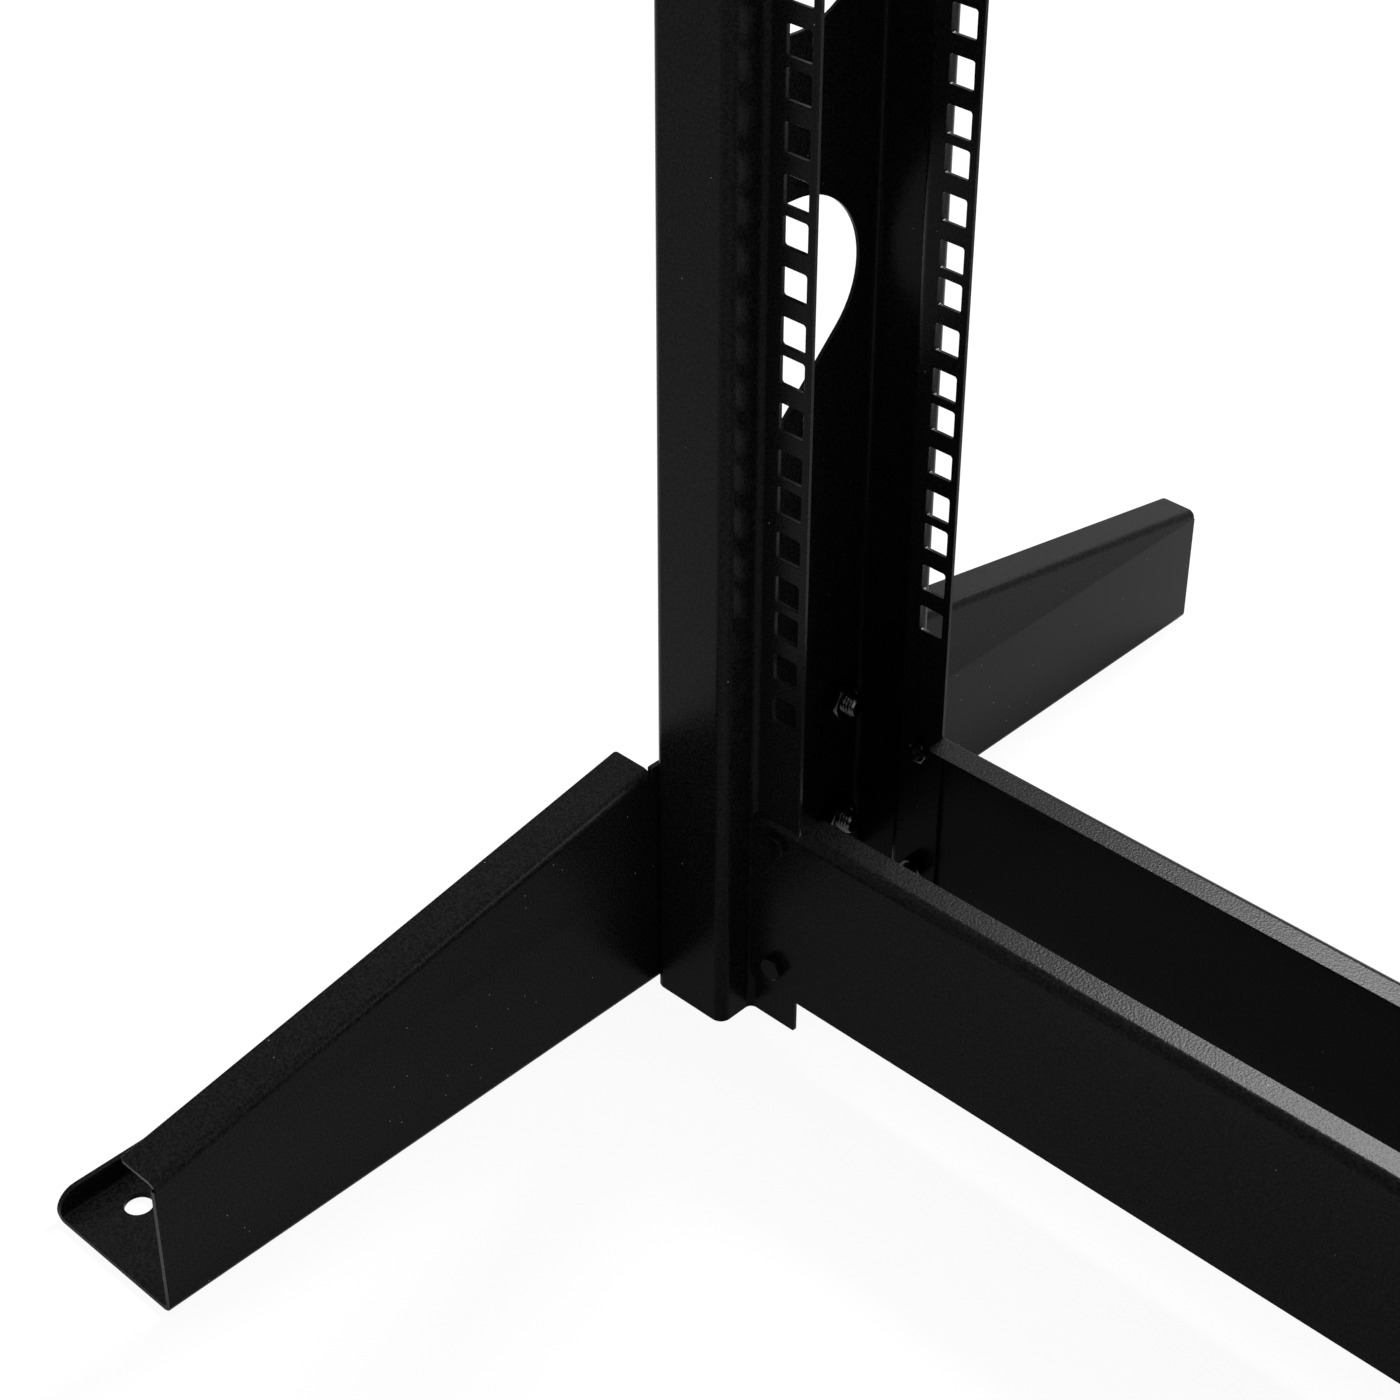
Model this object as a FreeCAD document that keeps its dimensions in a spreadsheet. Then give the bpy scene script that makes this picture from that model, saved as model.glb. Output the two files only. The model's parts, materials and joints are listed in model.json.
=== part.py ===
"""Two post open frame rack: two folded posts, four beams and two long feet, bolted together.

Millimetres, +Z up. The origin lies on the floor, midway between the posts and
in the middle of the feet. The posts stand a little ahead of it, and the front
of the rack faces -Y.
"""

import FreeCAD, Part

import math
import os

import Sketcher

V = FreeCAD.Vector
Turn = FreeCAD.Rotation

doc = FreeCAD.newDocument("rack")

# Driving dimensions

SIZES = {
    # 19 inch rack grid
    "rack_units": 25,
    "unit_height": 44.45,
    "hole_step": 15.875,
    "hole_side": 9.5,
    "column_spacing": 465.12,
    "end_margin": 120.65,
    # posts
    "post_sheet": 1.5,
    "post_width": 50.8,
    "post_depth": 101.1,
    "flange_step": 14.3,
    "flange_width": 21.1,
    "flange_edge": 7.5,
    "post_bend": 4.0,
    # cable openings in the post webs
    "opening_pairs": 4,
    "opening_width": 81.5,
    "opening_corner": 30.0,
    "opening_tip": 8.0,
    "opening_gap": 54.0,
    "opening_first": 273.7,
    # beams
    "beam_sheet": 1.5,
    "beam_bend": 4.0,
    "beam_foot_gap": 14.5,
    "beam_height": 69.5,
    "beam_shelf": 12.0,
    "beam_overhang": 11.0,
    "shelf_clearance": 0.6,
    # feet
    "foot_sheet": 2.0,
    "foot_bend": 3.5,
    "foot_length": 508.0,
    "foot_setback": 4.6,
    "foot_height": 91.2,
    "foot_tip_height": 52.3,
    "foot_base": 56.0,
    "foot_lip": 10.0,
    "foot_lip_corner": 7.0,
    "foot_shelf": 16.0,
    "foot_shelf_gap": 2.5,
    "anchor_hole": 9.0,
    "anchor_from_tip": 19.0,
    "anchor_from_lip": 14.6,
    # bolts
    "bolt_low": 25.4,
    "bolt_spacing": 50.8,
    "hole_clearance": 1.0,
    "thread_clearance": 0.2,
    "beam_bolt": 6.0,
    "beam_bolt_flats": 10.0,
    "beam_bolt_head": 4.0,
    "beam_nut": 5.0,
    "beam_thread_end": 2.0,
    "foot_bolt": 8.0,
    "foot_bolt_flats": 13.0,
    "foot_bolt_head": 5.3,
    "foot_nut": 6.5,
    "foot_thread_end": 4.6,
}

# Sizes that follow from the driving ones

DERIVED = {
    "post_height": "=rack_units * unit_height + 2 * end_margin",
    "first_hole": "=end_margin + (unit_height - 2 * hole_step) / 2",
    "web_out": "=post_width - flange_edge",
    "web_in": "=web_out - post_sheet",
    "return_out": "=flange_width - flange_edge",
    "return_in": "=return_out - post_sheet",
    "post_half": "=post_depth / 2",
    "post_half_in": "=post_half - post_sheet",
    "flange_out": "=post_half - flange_step",
    "flange_in": "=flange_out - post_sheet",
    "column": "=column_spacing / 2",
    "pair_pitch": "=(post_height - 2 * opening_first - opening_gap) / (opening_pairs - 1)",
    "beam_top": "=beam_foot_gap + beam_height",
    "shelf_half": "=column - flange_edge - shelf_clearance",
    "foot_half": "=foot_length / 2",
    "foot_face": "=column + web_out",
    "octagon": "=2 ^ 0.5 - 1",
    "bolt_high": "=bolt_low + bolt_spacing",
    "top_bolts": "=post_height - bolt_high",
    "beam_bolt_grip": "=beam_sheet + post_sheet",
    "beam_bolt_seat": "=flange_out + beam_sheet",
    "foot_bolt_grip": "=foot_sheet + post_sheet",
    "foot_bolt_seat": "=foot_face + foot_sheet",
}

# Edges are told apart to this length
NEAR = 1e-4

sheet = doc.addObject("Spreadsheet::Sheet", "Sizes")
for row, (alias, value) in enumerate({**SIZES, **DERIVED}.items(), start=1):
    sheet.set(f"A{row}", alias)
    sheet.set(f"B{row}", str(value))
    sheet.setAlias(f"B{row}", alias)
doc.recompute()

NODES = []


def size(text):
    """The value of an expression in sheet aliases, such as 'post_depth / 2'."""
    value = sheet.evalExpression(text)
    return getattr(value, "Value", value)


def bind(thing, prop, text):
    """Bind a property to an expression written in sheet aliases."""
    names = sorted({**SIZES, **DERIVED}, key=len, reverse=True)
    words = text.replace("(", " ( ").replace(")", " ) ").split()
    thing.setExpression(prop, " ".join("Sizes." + w if w in names else w for w in words))


def add_node(thing, label, place=("0", "0", "0"), turn=Turn()):
    """Name a finished sub-part and set it by expressions, with Y from the middle of the posts."""
    across, depth, height = place
    thing.Label = label
    thing.Placement = FreeCAD.Placement(V(0, 0, 0), turn)
    bind(thing, ".Placement.Base.x", across)
    bind(thing, ".Placement.Base.y", f"{depth} - foot_setback")
    bind(thing, ".Placement.Base.z", height)
    NODES.append(thing)


# Sketches and features

def new_sketch(body, name, role, offset=None):
    """A sketch on one of the body's own origin planes, moved along its normal by an expression."""
    sketch = body.newObject("Sketcher::SketchObject", name)
    plane = [item for item in body.Origin.OriginFeatures if item.Role == role][0]
    sketch.AttachmentSupport = (plane, "")
    sketch.MapMode = "FlatFace"
    if offset:
        bind(sketch, ".AttachmentOffset.Base.z", offset)
    return sketch


def place_point(sketch, item, point, across, up):
    """Tie a point of a sketch to the sketch's origin by two expressions."""
    for kind, text in (("DistanceX", across), ("DistanceY", up)):
        index = sketch.addConstraint(Sketcher.Constraint(kind, -1, 1, item, point, size(text)))
        bind(sketch, f"Constraints[{index}]", text)


def add_outline(sketch, corners):
    """A closed outline of straight lines through corners given as pairs of expressions."""
    points = [V(size(across), size(up), 0) for across, up in corners]
    first = sketch.GeometryCount
    count = len(points)
    for i, point in enumerate(points):
        sketch.addGeometry(Part.LineSegment(point, points[(i + 1) % count]))
    for i in range(count):
        following = first + (i + 1) % count
        sketch.addConstraint(Sketcher.Constraint("Coincident", first + i, 2, following, 1))
        place_point(sketch, first + i, 1, *corners[i])


def constrain(sketch, kind, item, text):
    """One constraint of a sketch piece, driven by an expression."""
    index = sketch.addConstraint(Sketcher.Constraint(kind, item, size(text)))
    bind(sketch, f"Constraints[{index}]", text)


def add_circle(sketch, across, up, diameter):
    centre = V(size(across), size(up), 0)
    item = sketch.addGeometry(Part.Circle(centre, V(0, 0, 1), size(diameter) / 2))
    place_point(sketch, item, 3, across, up)
    constrain(sketch, "Diameter", item, diameter)


def add_bolt_hole(sketch, across, up, bolt_size):
    """A clearance hole with eight sides, as a head and a nut cover it."""
    half = f"( {bolt_size} + hole_clearance ) / 2"
    side = f"{half} * octagon"
    first = [(half, side), (side, half)]
    second = [(f"0 - {x}", y) for x, y in first[::-1]]
    upper = first + second
    lower = [(x, f"0 - {y}") for x, y in upper[::-1]]
    add_outline(sketch, [(f"{across} + {x}", f"{up} + {y}") for x, y in upper + lower])


def pad(body, sketch, length, side="One side", backwards=False):
    feature = body.newObject("PartDesign::Pad", sketch.Name + "_pad")
    feature.Profile = sketch
    feature.SideType = side
    feature.Reversed = backwards
    bind(feature, "Length", length)
    doc.recompute()
    return feature


def cut(body, sketch, length, side="One side", backwards=False):
    """A pocket that has to remove material."""
    before = body.Shape.Volume
    feature = body.newObject("PartDesign::Pocket", sketch.Name + "_cut")
    feature.Profile = sketch
    feature.SideType = side
    feature.Reversed = backwards
    bind(feature, "Length", length)
    doc.recompute()
    if body.Shape.Volume > before - NEAR:
        raise RuntimeError(f"{feature.Name} of {body.Name} cuts nothing")
    return feature


def repeat(body, feature, role, count, pitch):
    """A row of copies of a feature along an origin axis."""
    pattern = body.newObject("PartDesign::LinearPattern", feature.Name + "_row")
    pattern.Originals = [feature]
    axis = [item for item in body.Origin.OriginFeatures if item.Role == role][0]
    pattern.Direction = (axis, [""])
    pattern.Mode = "Spacing"
    bind(pattern, "Offset", pitch)
    bind(pattern, "Occurrences", count)
    body.Tip = pattern
    doc.recompute()


def round_edges(body, name, radius, chosen):
    """Round the straight edges that the test function picks by their two ends."""
    before = body.Tip
    names = []
    for i, edge in enumerate(body.Shape.Edges, start=1):
        ends = [vertex.Point for vertex in edge.Vertexes]
        if len(ends) == 2 and chosen(*ends):
            names.append(f"Edge{i}")
    if not names:
        raise RuntimeError(f"{name} finds no edge to round")
    feature = body.newObject("PartDesign::Fillet", name)
    feature.Base = (before, names)
    bind(feature, "Radius", radius)
    doc.recompute()


def parallel(axis, corners):
    """A test for edges along an axis that pass through one of the corners, given as expressions."""
    across = [other for other in "xyz" if other != axis]
    places = [[size(text) for text in corner] for corner in corners]

    def test(a, b):
        for place in places:
            gaps = [abs(getattr(p, other) - at) for p in (a, b) for other, at in zip(across, place)]
            if max(gaps) < NEAR:
                return True
        return False

    return test


def front_of(points):
    """The same corners mirrored from the rear half to the front half."""
    return [(across, f"0 - {depth}") for across, depth in points]


# Posts

def make_post(label, side):
    """A post: web, stepped front and rear, and a rack flange at each end of the section.

    X runs from the hole column towards the other post, Y from the middle of the post.
    """
    body = doc.addObject("PartDesign::Body", label)
    outer = [
        ("flange_edge", "flange_in"),
        ("flange_edge", "flange_out"),
        ("0 - return_in", "flange_out"),
        ("0 - return_in", "post_half"),
        ("0 - web_out", "post_half"),
    ]
    inner = [
        ("0 - web_in", "post_half_in"),
        ("0 - return_out", "post_half_in"),
        ("0 - return_out", "flange_in"),
    ]
    profile = new_sketch(body, label + "_profile", "XY_Plane")
    add_outline(profile, outer + front_of(outer)[::-1] + front_of(inner)[::-1] + inner)
    pad(body, profile, "post_height")

    wide = [outer[4], outer[3], inner[2]]
    tight = [inner[0], inner[1], outer[2]]
    round_edges(body, label + "_wide_bends", "post_bend", parallel("z", wide + front_of(wide)))
    tight_radius = "post_bend - post_sheet"
    round_edges(body, label + "_tight_bends", tight_radius, parallel("z", tight + front_of(tight)))

    beam_bolts = new_sketch(body, label + "_beam_bolts", "XZ_Plane")
    for height in ("bolt_low", "bolt_high", "top_bolts", "top_bolts + bolt_spacing"):
        add_bolt_hole(beam_bolts, "0", height, "beam_bolt")
    cut(body, beam_bolts, "post_depth", side="Symmetric")

    foot_bolts = new_sketch(body, label + "_foot_bolts", "YZ_Plane", "0 - web_in")
    for height in ("bolt_low", "bolt_high"):
        for depth in ("0 - flange_out", "flange_out"):
            add_bolt_hole(foot_bolts, depth, height, "foot_bolt")
    cut(body, foot_bolts, "post_sheet")

    openings = new_sketch(body, label + "_openings", "YZ_Plane", "0 - web_in")
    add_opening(openings, "opening_first", -1)
    add_opening(openings, "opening_first + opening_gap", 1)
    pair = cut(body, openings, "post_sheet")
    repeat(body, pair, "Z_Axis", "opening_pairs", "pair_pitch")

    squares = new_sketch(body, label + "_squares", "XZ_Plane")
    for step in ("0", "hole_step", "2 * hole_step"):
        add_square(squares, f"first_hole + {step}")
    unit = cut(body, squares, "post_depth", side="Symmetric")
    repeat(body, unit, "Z_Axis", "rack_units", "unit_height")

    if side < 0:
        add_node(body, label, ("0 - column", "0", "0"))
    else:
        add_node(body, label, ("column", "0", "0"), Turn(V(0, 0, 1), 180))


def add_square(sketch, height):
    left, right = "0 - hole_side / 2", "hole_side / 2"
    low, high = f"{height} - hole_side / 2", f"{height} + hole_side / 2"
    add_outline(sketch, [(left, low), (right, low), (right, high), (left, high)])


def add_opening(sketch, flat, way):
    """A cable opening: a flat end, large round shoulders, and slanted sides that meet in a round tip.

    The flat lies at the given height, and the tip points up for way 1 and down for way -1.
    """
    shoulder = size("opening_corner")
    tip = size("opening_tip")
    half = size("opening_width / 2") - shoulder
    level = size(flat)
    slant = 0.5 ** 0.5
    leave = V(half + shoulder * slant, level + way * shoulder * (1 + slant), 0)
    crossing = leave.y + way * leave.x
    arrive = V(tip * slant, crossing - way * tip * slant, 0)

    def opposite(point):
        return V(-point.x, point.y, 0)

    def arc(across, up, radius, begin, finish):
        first, last = (begin, finish) if way > 0 else (-finish, -begin)
        circle = Part.Circle(V(across, up, 0), V(0, 0, 1), radius)
        return Part.ArcOfCircle(circle, math.radians(first), math.radians(last))

    pieces = [
        Part.LineSegment(V(-half, level, 0), V(half, level, 0)),
        arc(half, level + way * shoulder, shoulder, -90, 45),
        Part.LineSegment(leave, arrive),
        arc(0, crossing - way * tip / slant, tip, 45, 135),
        Part.LineSegment(opposite(arrive), opposite(leave)),
        arc(-half, level + way * shoulder, shoulder, 135, 270),
    ]
    base = sketch.GeometryCount
    sketch.addGeometry(pieces)
    bottom, right, right_side, top, left_side, left = range(base, base + len(pieces))
    begin, finish = (1, 2) if way > 0 else (2, 1)
    joints = [
        (bottom, 2, right, begin),
        (right, finish, right_side, 1),
        (right_side, 2, top, begin),
        (top, finish, left_side, 1),
        (left_side, 2, left, begin),
        (left, finish, bottom, 1),
    ]
    for joint in joints:
        sketch.addConstraint(Sketcher.Constraint("Tangent", *joint))
    place_point(sketch, bottom, 1, "opening_corner - opening_width / 2", flat)
    place_point(sketch, bottom, 2, "opening_width / 2 - opening_corner", flat)
    constrain(sketch, "Radius", right, "opening_corner")
    constrain(sketch, "Radius", left, "opening_corner")
    constrain(sketch, "Radius", top, "opening_tip")
    sketch.addConstraint(Sketcher.Constraint("Perpendicular", right_side, left_side))
    sketch.addConstraint(Sketcher.Constraint("Equal", right_side, left_side))


# Beams

def make_beam(label, place, turn):
    """An angle: a plate on the outer face of the flanges and a narrow shelf between the posts.

    The body lies along X with its plate's back on Y = 0 and the floor at Z = 0.
    """
    body = doc.addObject("PartDesign::Body", label)
    profile = new_sketch(body, label + "_profile", "YZ_Plane")
    shelf_edge = "beam_shelf - beam_sheet"
    shelf_under = "beam_top - beam_sheet"
    add_outline(profile, [
        ("0 - beam_sheet", "beam_foot_gap"),
        ("0", "beam_foot_gap"),
        ("0", shelf_under),
        (shelf_edge, shelf_under),
        (shelf_edge, "beam_top"),
        ("0 - beam_sheet", "beam_top"),
    ])
    pad(body, profile, "2 * ( column + beam_overhang )", side="Symmetric")
    outside = parallel("x", [("0 - beam_sheet", "beam_top")])
    inside = parallel("x", [("0", shelf_under)])
    round_edges(body, label + "_outer_bend", "beam_bend", outside)
    round_edges(body, label + "_inner_bend", "beam_bend - beam_sheet", inside)

    notches = new_sketch(body, label + "_notches", "XY_Plane", "beam_foot_gap")
    for sign in ("", "0 - "):
        inner = f"{sign}shelf_half"
        outer = f"{sign}( column + beam_overhang + beam_sheet )"
        add_outline(notches, [(inner, "0"), (outer, "0"), (outer, "beam_shelf"), (inner, "beam_shelf")])
    cut(body, notches, "beam_height", backwards=True)

    bolts = new_sketch(body, label + "_bolts", "XZ_Plane")
    for across in ("0 - column", "column"):
        for height in ("bolt_low", "bolt_high"):
            add_bolt_hole(bolts, across, height, "beam_bolt")
    cut(body, bolts, "2 * beam_shelf", side="Symmetric")
    add_node(body, label, place, turn)


# Feet

def make_foot(label, side):
    """A long folded foot: a tapered plate on the post's web, a base flange with a lip and two top shelves.

    X = 0 is the plate's face on the web, Y = 0 the middle of the post, and the base flange runs to -X.
    """
    body = doc.addObject("PartDesign::Body", label)
    middle = "foot_setback" if side < 0 else "0 - foot_setback"
    reaches = (f"( foot_half - ( {middle} ) )", f"( foot_half + ( {middle} ) )")
    tips = ("0 - " + reaches[0], reaches[1])
    plate = new_sketch(body, label + "_plate", "YZ_Plane")
    add_outline(plate, [
        (tips[0], "0"),
        (tips[1], "0"),
        (tips[1], "foot_tip_height"),
        ("post_half", "foot_height"),
        ("0 - post_half", "foot_height"),
        (tips[0], "foot_tip_height"),
    ])
    pad(body, plate, "foot_sheet", backwards=True)

    base = new_sketch(body, label + "_base", "XZ_Plane", f"0 - ( {middle} )")
    inner_lip = "foot_sheet - foot_base"
    add_outline(base, [
        ("0", "0"),
        ("0", "foot_sheet"),
        (inner_lip, "foot_sheet"),
        (inner_lip, "foot_lip"),
        ("0 - foot_base", "foot_lip"),
        ("0 - foot_base", "0"),
    ])
    pad(body, base, "foot_length", side="Symmetric")

    shelves = new_sketch(body, label + "_shelves", "YZ_Plane")
    for sign, tip, reach in zip(("0 - ", ""), tips, reaches):
        start = f"{sign}( post_half + foot_shelf_gap )"
        slope = f"( foot_height - foot_tip_height ) / ( {reach} - post_half )"
        start_top = f"foot_height - foot_shelf_gap * {slope}"
        add_outline(shelves, [
            (start, start_top),
            (tip, "foot_tip_height"),
            (tip, "foot_tip_height - foot_sheet"),
            (start, f"{start_top} - foot_sheet"),
        ])
    pad(body, shelves, "foot_shelf", backwards=True)

    outside = [("0", "0"), ("0 - foot_base", "0")]
    inside = [("0 - foot_sheet", "foot_sheet"), (inner_lip, "foot_sheet")]
    lip_corners = [(tip, "foot_lip") for tip in tips]
    round_edges(body, label + "_base_bends", "foot_bend", parallel("y", outside))
    round_edges(body, label + "_base_insides", "foot_bend - foot_sheet", parallel("y", inside))
    round_edges(body, label + "_lip_corners", "foot_lip_corner", parallel("x", lip_corners))
    round_edges(body, label + "_shelf_bends", "foot_bend", sloping)

    anchors = new_sketch(body, label + "_anchors", "XY_Plane")
    for tip, inwards in zip(tips, ("+", "-")):
        depth = f"{tip} {inwards} anchor_from_tip"
        add_circle(anchors, "anchor_from_lip - foot_base", depth, "anchor_hole")
    cut(body, anchors, "2 * foot_sheet", backwards=True)

    bolts = new_sketch(body, label + "_bolts", "YZ_Plane")
    for depth in ("0 - flange_out", "flange_out"):
        for height in ("bolt_low", "bolt_high"):
            add_bolt_hole(bolts, depth, height, "foot_bolt")
    cut(body, bolts, "foot_sheet")

    if side < 0:
        add_node(body, label, ("0 - foot_face", "0", "0"))
    else:
        add_node(body, label, ("foot_face", "0", "0"), Turn(V(0, 0, 1), 180))


def sloping(a, b):
    """True for a sloping edge in the plane X = 0."""
    on_plane = abs(a.x) < NEAR and abs(b.x) < NEAR
    return on_plane and abs(a.y - b.y) > NEAR and abs(a.z - b.z) > NEAR


# Bolts and nuts

HEXAGON = 6
SHANK_SIDES = 12


def prism(name, sides, radius, length, at):
    item = doc.addObject("Part::Prism", name)
    item.Polygon = sides
    bind(item, "Circumradius", radius)
    bind(item, "Height", length)
    bind(item, ".Placement.Base.z", at)
    return item


def bolt(name, kind):
    """A hexagon bolt along +Z, with the underside of its head on Z = 0."""
    across = f"{kind}_bolt_flats / 3 ^ 0.5"
    head = prism(name + "_head", HEXAGON, across, kind + "_bolt_head", f"0 - {kind}_bolt_head")
    reach = f"{kind}_bolt_grip + {kind}_nut + {kind}_thread_end"
    shank = prism(name + "_shank", SHANK_SIDES, kind + "_bolt / 2", reach, "0")
    whole = doc.addObject("Part::Fuse", name)
    whole.Base = head
    whole.Tool = shank
    return whole


def nut(name, kind):
    """A hexagon nut, seated where the bolt leaves the sheets."""
    across = f"{kind}_bolt_flats / 3 ^ 0.5"
    bore_radius = f"( {kind}_bolt + thread_clearance ) / 2"
    seat = kind + "_bolt_grip"
    block = prism(name + "_block", HEXAGON, across, kind + "_nut", seat)
    bore = prism(name + "_bore", SHANK_SIDES, bore_radius, kind + "_nut", seat)
    whole = doc.addObject("Part::Cut", name)
    whole.Base = block
    whole.Tool = bore
    return whole


def add_pair(label, make, kind, place, turn):
    """Two like fasteners one above the other, as one node."""
    pair = []
    for i in range(2):
        item = make(f"{label}_{i + 1}", kind)
        item.Placement = FreeCAD.Placement(V(0, 0, 0), turn)
        bind(item, ".Placement.Base.z", f"{i} * bolt_spacing")
        pair.append(item)
    group = doc.addObject("Part::Compound", label)
    group.Links = pair
    add_node(group, label, place)


# Assembly

make_post("left_post", -1)
make_post("right_post", 1)

make_beam("front_bottom_beam", ("0", "0 - flange_out", "0"), Turn())
make_beam("rear_bottom_beam", ("0", "flange_out", "0"), Turn(V(0, 0, 1), 180))
make_beam("front_top_beam", ("0", "0 - flange_out", "post_height"), Turn(V(0, 1, 0), 180))
make_beam("rear_top_beam", ("0", "flange_out", "post_height"), Turn(V(1, 0, 0), 180))

make_foot("left_foot", -1)
make_foot("right_foot", 1)

for side, sign, outwards in (("left", "0 - ", -90), ("right", "", 90)):
    for end, way, into_rack in (("front", "0 - ", -90), ("rear", "", 90)):
        bolt_turn = Turn(V(1, 0, 0), into_rack)
        for level, height in (("bottom", "bolt_low"), ("top", "top_bolts")):
            place = (sign + "column", way + "beam_bolt_seat", height)
            add_pair(f"{end}_{level}_{side}_bolts", bolt, "beam", place, bolt_turn)
            add_pair(f"{end}_{level}_{side}_nuts", nut, "beam", place, bolt_turn)
        place = (sign + "foot_bolt_seat", way + "flange_out", "bolt_low")
        foot_turn = Turn(V(0, 1, 0), -outwards)
        add_pair(f"{side}_foot_{end}_bolts", bolt, "foot", place, foot_turn)
        add_pair(f"{side}_foot_{end}_nuts", nut, "foot", place, foot_turn)

# Checks and export

doc.recompute()
for item in doc.Objects:
    if "Invalid" in item.State or "Error" in item.State:
        raise RuntimeError(f"{item.Name} is {item.State}")
for node in NODES:
    if node.Shape.isNull() or not node.Shape.isValid():
        raise RuntimeError(f"{node.Label} has no valid shape")

os.makedirs("parts", exist_ok=True)
for node in NODES:
    node.Shape.exportStep(f"parts/{node.Label}.step")
print(len(NODES), "sub-parts written")
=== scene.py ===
"""Looks of the two post open frame rack: folded sheets, bolts and nuts, finishes, light and camera."""

import json
import math
from collections import namedtuple

import bmesh
import bpy
import numpy as np
from mathutils import Matrix, Vector
from mathutils.geometry import tessellate_polygon


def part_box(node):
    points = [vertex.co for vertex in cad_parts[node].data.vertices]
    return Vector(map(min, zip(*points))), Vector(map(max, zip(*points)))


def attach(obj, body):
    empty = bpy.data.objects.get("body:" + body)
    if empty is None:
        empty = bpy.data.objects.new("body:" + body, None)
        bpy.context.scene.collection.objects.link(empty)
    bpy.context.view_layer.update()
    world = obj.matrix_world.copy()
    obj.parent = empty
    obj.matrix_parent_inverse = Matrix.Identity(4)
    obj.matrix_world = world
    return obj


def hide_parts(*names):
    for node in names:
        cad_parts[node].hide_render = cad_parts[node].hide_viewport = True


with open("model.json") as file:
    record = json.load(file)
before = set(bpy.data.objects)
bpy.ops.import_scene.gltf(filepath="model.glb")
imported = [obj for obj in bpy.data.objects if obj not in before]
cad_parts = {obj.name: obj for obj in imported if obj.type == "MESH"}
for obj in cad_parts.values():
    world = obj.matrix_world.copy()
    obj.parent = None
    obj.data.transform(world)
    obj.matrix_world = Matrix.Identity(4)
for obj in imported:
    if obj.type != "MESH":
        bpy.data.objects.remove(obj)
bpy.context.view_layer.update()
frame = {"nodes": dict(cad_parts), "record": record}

# Sizes in millimetres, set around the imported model

METRE = 1000.0

# 19 inch grid: a column of holes on each side of the middle, units and holes up the post
COLUMN = 232.56
UNITS = 25
UNIT = 44.45
HOLE_STEP = 15.875
HOLE_SIDE = 9.5
END_MARGIN = 120.65
FIRST_HOLE = END_MARGIN + (UNIT - 2 * HOLE_STEP) / 2
POST_TOP = UNITS * UNIT + 2 * END_MARGIN

# Post section: half its depth, and how far web, return and flange edge lie from the column of holes
POST_SHEET = 1.5
POST_HALF = 50.55
FLANGE_STEP = 14.3
FLANGE_OUT = POST_HALF - FLANGE_STEP
WEB_OUT = 43.3
RETURN_OUT = 13.6
FLANGE_EDGE = 7.5

# The posts' middle lies this far in front of the feet's middle
SETBACK = 4.6

# Bolts: their heights from the end of a post, and the radii of their holes
BOLT_SPACING = 50.8
BOLT_LOW = 25.4
BOLT_HIGH = BOLT_LOW + BOLT_SPACING
BEAM_BOLT_HOLE = 3.4
FOOT_BOLT_HOLE = 4.4

# Edges and bends of the sheets
BEVEL = 0.16
QUARTER = math.pi / 2
BEND_STEPS = 8

# Closed rings of points in the flat sheet


def corner_ring(corners):
    """A ring of straight lines, in which a corner (x, y, radius) is rounded."""
    fewest, most, chord = 3, 24, 1.6
    ring = []
    count = len(corners)
    for i, corner in enumerate(corners):
        point = Vector(corner[:2])
        radius = corner[2] if len(corner) > 2 else 0
        if not radius:
            ring.append(tuple(point))
            continue
        before = (Vector(corners[i - 1][:2]) - point).normalized()
        after = (Vector(corners[(i + 1) % count][:2]) - point).normalized()
        half = math.acos(max(-1.0, min(1.0, before.dot(after)))) / 2
        centre = point + (before + after).normalized() * radius / math.sin(half)
        start = point + before * radius / math.tan(half) - centre
        end = point + after * radius / math.tan(half) - centre
        sweep = math.atan2(start.x * end.y - start.y * end.x, start.dot(end))
        steps = min(most, max(fewest, int(abs(sweep) * (2 + radius) / chord)))
        for k in range(steps + 1):
            turn = sweep * k / steps
            ring.append((centre.x + start.x * math.cos(turn) - start.y * math.sin(turn),
                         centre.y + start.x * math.sin(turn) + start.y * math.cos(turn)))
    return ring


def square_ring(across, up):
    """A square hole with slightly rounded corners."""
    half = HOLE_SIDE / 2
    radius = 0.9
    return corner_ring([(across - half, up - half, radius), (across + half, up - half, radius),
                        (across + half, up + half, radius), (across - half, up + half, radius)])


def round_ring(across, up, radius):
    """A round hole."""
    sides = 40
    angles = [math.tau * i / sides for i in range(sides)]
    return [(across + radius * math.cos(angle), up + radius * math.sin(angle)) for angle in angles]


def opening_ring(level, way):
    """A cable opening: flat end, round shoulders and sides at 45 degrees that meet in a round tip."""
    width, shoulder, tip = 81.5, 30.0, 8.0
    spread = width / 2 - shoulder + shoulder / math.tan(math.pi / 8)
    corners = [(-spread, level, shoulder), (spread, level, shoulder), (0.0, level + way * spread, tip)]
    ring = corner_ring(corners)
    return ring if way > 0 else ring[::-1]


def area(ring):
    """The area in a ring, positive where the ring runs anticlockwise."""
    return sum(a[0] * b[1] - b[0] * a[1] for a, b in zip(ring, ring[1:] + ring[:1])) / 2


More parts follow.
